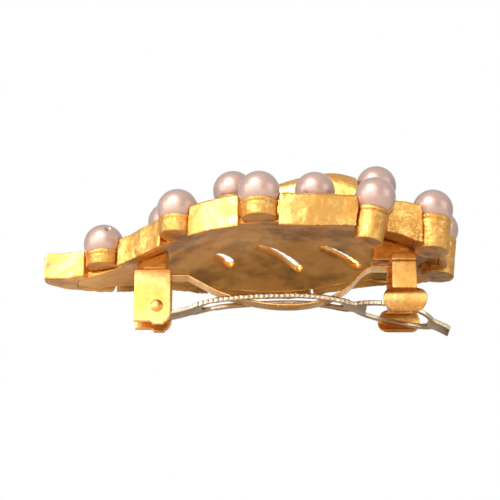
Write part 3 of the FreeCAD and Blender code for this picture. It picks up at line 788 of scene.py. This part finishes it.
def on_milled_edge(co, normal, loop_x, middle_y):
    """Outer upper edge of the rails and of the loop, short of the knuckle and the tab."""
    if not loop_x - MILLING_LENGTH <= co.x <= loop_x + MILLING_END:
        return False
    outward = normal.y * (1 if co.y > middle_y else -1)
    if co.x > loop_x - LOOP_REACH:
        across = Vector((co.x - loop_x, co.y - middle_y, 0)).normalized()
        outward = normal.x * across.x + normal.y * across.y
    return outward > 0.3 and normal.z > -0.75


def on_rib(co, normal, loop_x, middle_y):
    """Middle line of each rail, above and below."""
    aside = abs(co.y - middle_y)
    return (loop_x - RIB_START < co.x < loop_x - RIB_END and abs(normal.z) > 0.85
            and RAIL_INNER + 0.15 < aside < RAIL_OUTER - 0.05)


# ---- stage -----------------------------------------------------------------------------------
def view_direction(azimuth, elevation):
    """From the object towards the camera; azimuth 0 looks along +Y."""
    return Vector((math.sin(azimuth) * math.cos(elevation),
                   -math.cos(azimuth) * math.cos(elevation), math.sin(elevation)))


def aim(thing, target):
    """Turns a camera or light to face a point."""
    thing.rotation_euler = (target - thing.location).to_track_quat("-Z", "Y").to_euler()


def softbox(name, direction, distance, size, power, target):
    """Square panel of light, at a distance from the target and facing it."""
    bpy.ops.object.light_add(type="AREA", location=target + direction.normalized() * distance)
    lamp = bpy.context.object
    lamp.name = name
    lamp.data.size = size
    lamp.data.energy = power
    aim(lamp, target)


def floor_material(colour):
    """Pale floor that the camera sees only from above, so that it can look up from below."""
    material, tree, shader = new_material("floor")
    shader.inputs["Base Color"].default_value = (*colour, 1)
    shader.inputs["Roughness"].default_value = 0.7
    clear = node(tree, "ShaderNodeBsdfTransparent")
    seen = node(tree, "ShaderNodeLightPath").outputs["Is Camera Ray"]
    behind = node(tree, "ShaderNodeNewGeometry").outputs["Backfacing"]
    mixed = node(tree, "ShaderNodeMixShader")
    tree.links.new(math_node(tree, "MULTIPLY", seen, behind), mixed.inputs["Fac"])
    tree.links.new(shader.outputs[0], mixed.inputs[1])
    tree.links.new(clear.outputs[0], mixed.inputs[2])
    tree.links.new(mixed.outputs[0], tree.nodes["Material Output"].inputs["Surface"])
    return material


class BARRETTE_OT_stage(bpy.types.Operator):
    """Pale floor, soft studio light and the camera"""
    bl_idname = "barrette.stage"
    bl_label = "Stage"

    def execute(self, context):
        stage = context.scene.barrette_stage
        low, high = (Vector(corner) for corner in CAD_BOX)
        middle = (low + high) / 2
        target = middle + AIM_OFFSET
        bpy.ops.object.select_all(action="DESELECT")
        bpy.ops.mesh.primitive_plane_add(size=FLOOR_SIZE, location=(0, 0, low.z - FLOOR_GAP))
        floor = context.object
        floor.name = "floor"
        floor.data.materials.append(floor_material(stage.floor_colour))
        for name, (direction, distance, size) in LIGHTS.items():
            power = getattr(stage, name + "_power")
            softbox(name, Vector(direction), distance, size, power, target)
        world = context.scene.world or bpy.data.worlds.new("studio")
        context.scene.world = world
        world.use_nodes = True
        tree = world.node_tree
        back = tree.nodes["Background"]
        seen = node(tree, "ShaderNodeLightPath").outputs["Is Camera Ray"]
        strength = node(tree, "ShaderNodeMapRange")
        strength.inputs["To Min"].default_value = WORLD_LIGHT
        strength.inputs["To Max"].default_value = 1.0
        tree.links.new(seen, strength.inputs["Value"])
        tree.links.new(strength.outputs["Result"], back.inputs["Strength"])
        back.inputs["Color"].default_value = (1, 1, 1, 1)
        bpy.ops.object.camera_add(location=target + view_direction(
            stage.azimuth, stage.elevation) * stage.distance)
        camera = context.object
        camera.data.sensor_width = SENSOR_WIDTH
        camera.data.lens = SENSOR_WIDTH * stage.distance / stage.field
        camera.data.clip_start = NEAREST_SEEN
        aim(camera, target)
        context.scene.camera = camera
        context.scene.view_settings.view_transform = "Standard"
        return {"FINISHED"}


class BARRETTE_PT_panel(bpy.types.Panel):
    """Lists the barrette's pieces in the sidebar"""
    bl_label = "Leaf Barrette"
    bl_idname = "BARRETTE_PT_panel"
    bl_space_type = "VIEW_3D"
    bl_region_type = "UI"
    bl_category = "Barrette"

    def draw(self, context):
        for operator in PIECES:
            self.layout.operator(operator.bl_idname)
        for group in SETTINGS:
            settings = getattr(context.scene, group)
            for key in settings.bl_rna.properties.keys():
                if key not in ("rna_type", "name"):
                    self.layout.prop(settings, key)


PIECES = (BARRETTE_OT_leaf, BARRETTE_OT_rim_walls, BARRETTE_OT_cups, BARRETTE_OT_petal,
          BARRETTE_OT_bosses, BARRETTE_OT_pearls, BARRETTE_OT_hinge, BARRETTE_OT_tension_bar,
          BARRETTE_OT_catch, BARRETTE_OT_clasp_arm, BARRETTE_OT_stage)
SETTINGS = {"barrette_gold": BarretteGold, "barrette_pearl": BarrettePearl,
            "barrette_clip": BarretteClip, "barrette_stage": BarretteStage}


def register():
    for cls in (*SETTINGS.values(), *PIECES, BARRETTE_PT_panel):
        bpy.utils.register_class(cls)
    for name, cls in SETTINGS.items():
        setattr(bpy.types.Scene, name, PointerProperty(type=cls))


def unregister():
    for name in SETTINGS:
        delattr(bpy.types.Scene, name)
    for cls in reversed((*SETTINGS.values(), *PIECES, BARRETTE_PT_panel)):
        bpy.utils.unregister_class(cls)


def main():
    register()
    for operator in PIECES:
        area, word = operator.bl_idname.split(".")
        getattr(getattr(bpy.ops, area), word)()


if __name__ == "__main__":
    main()
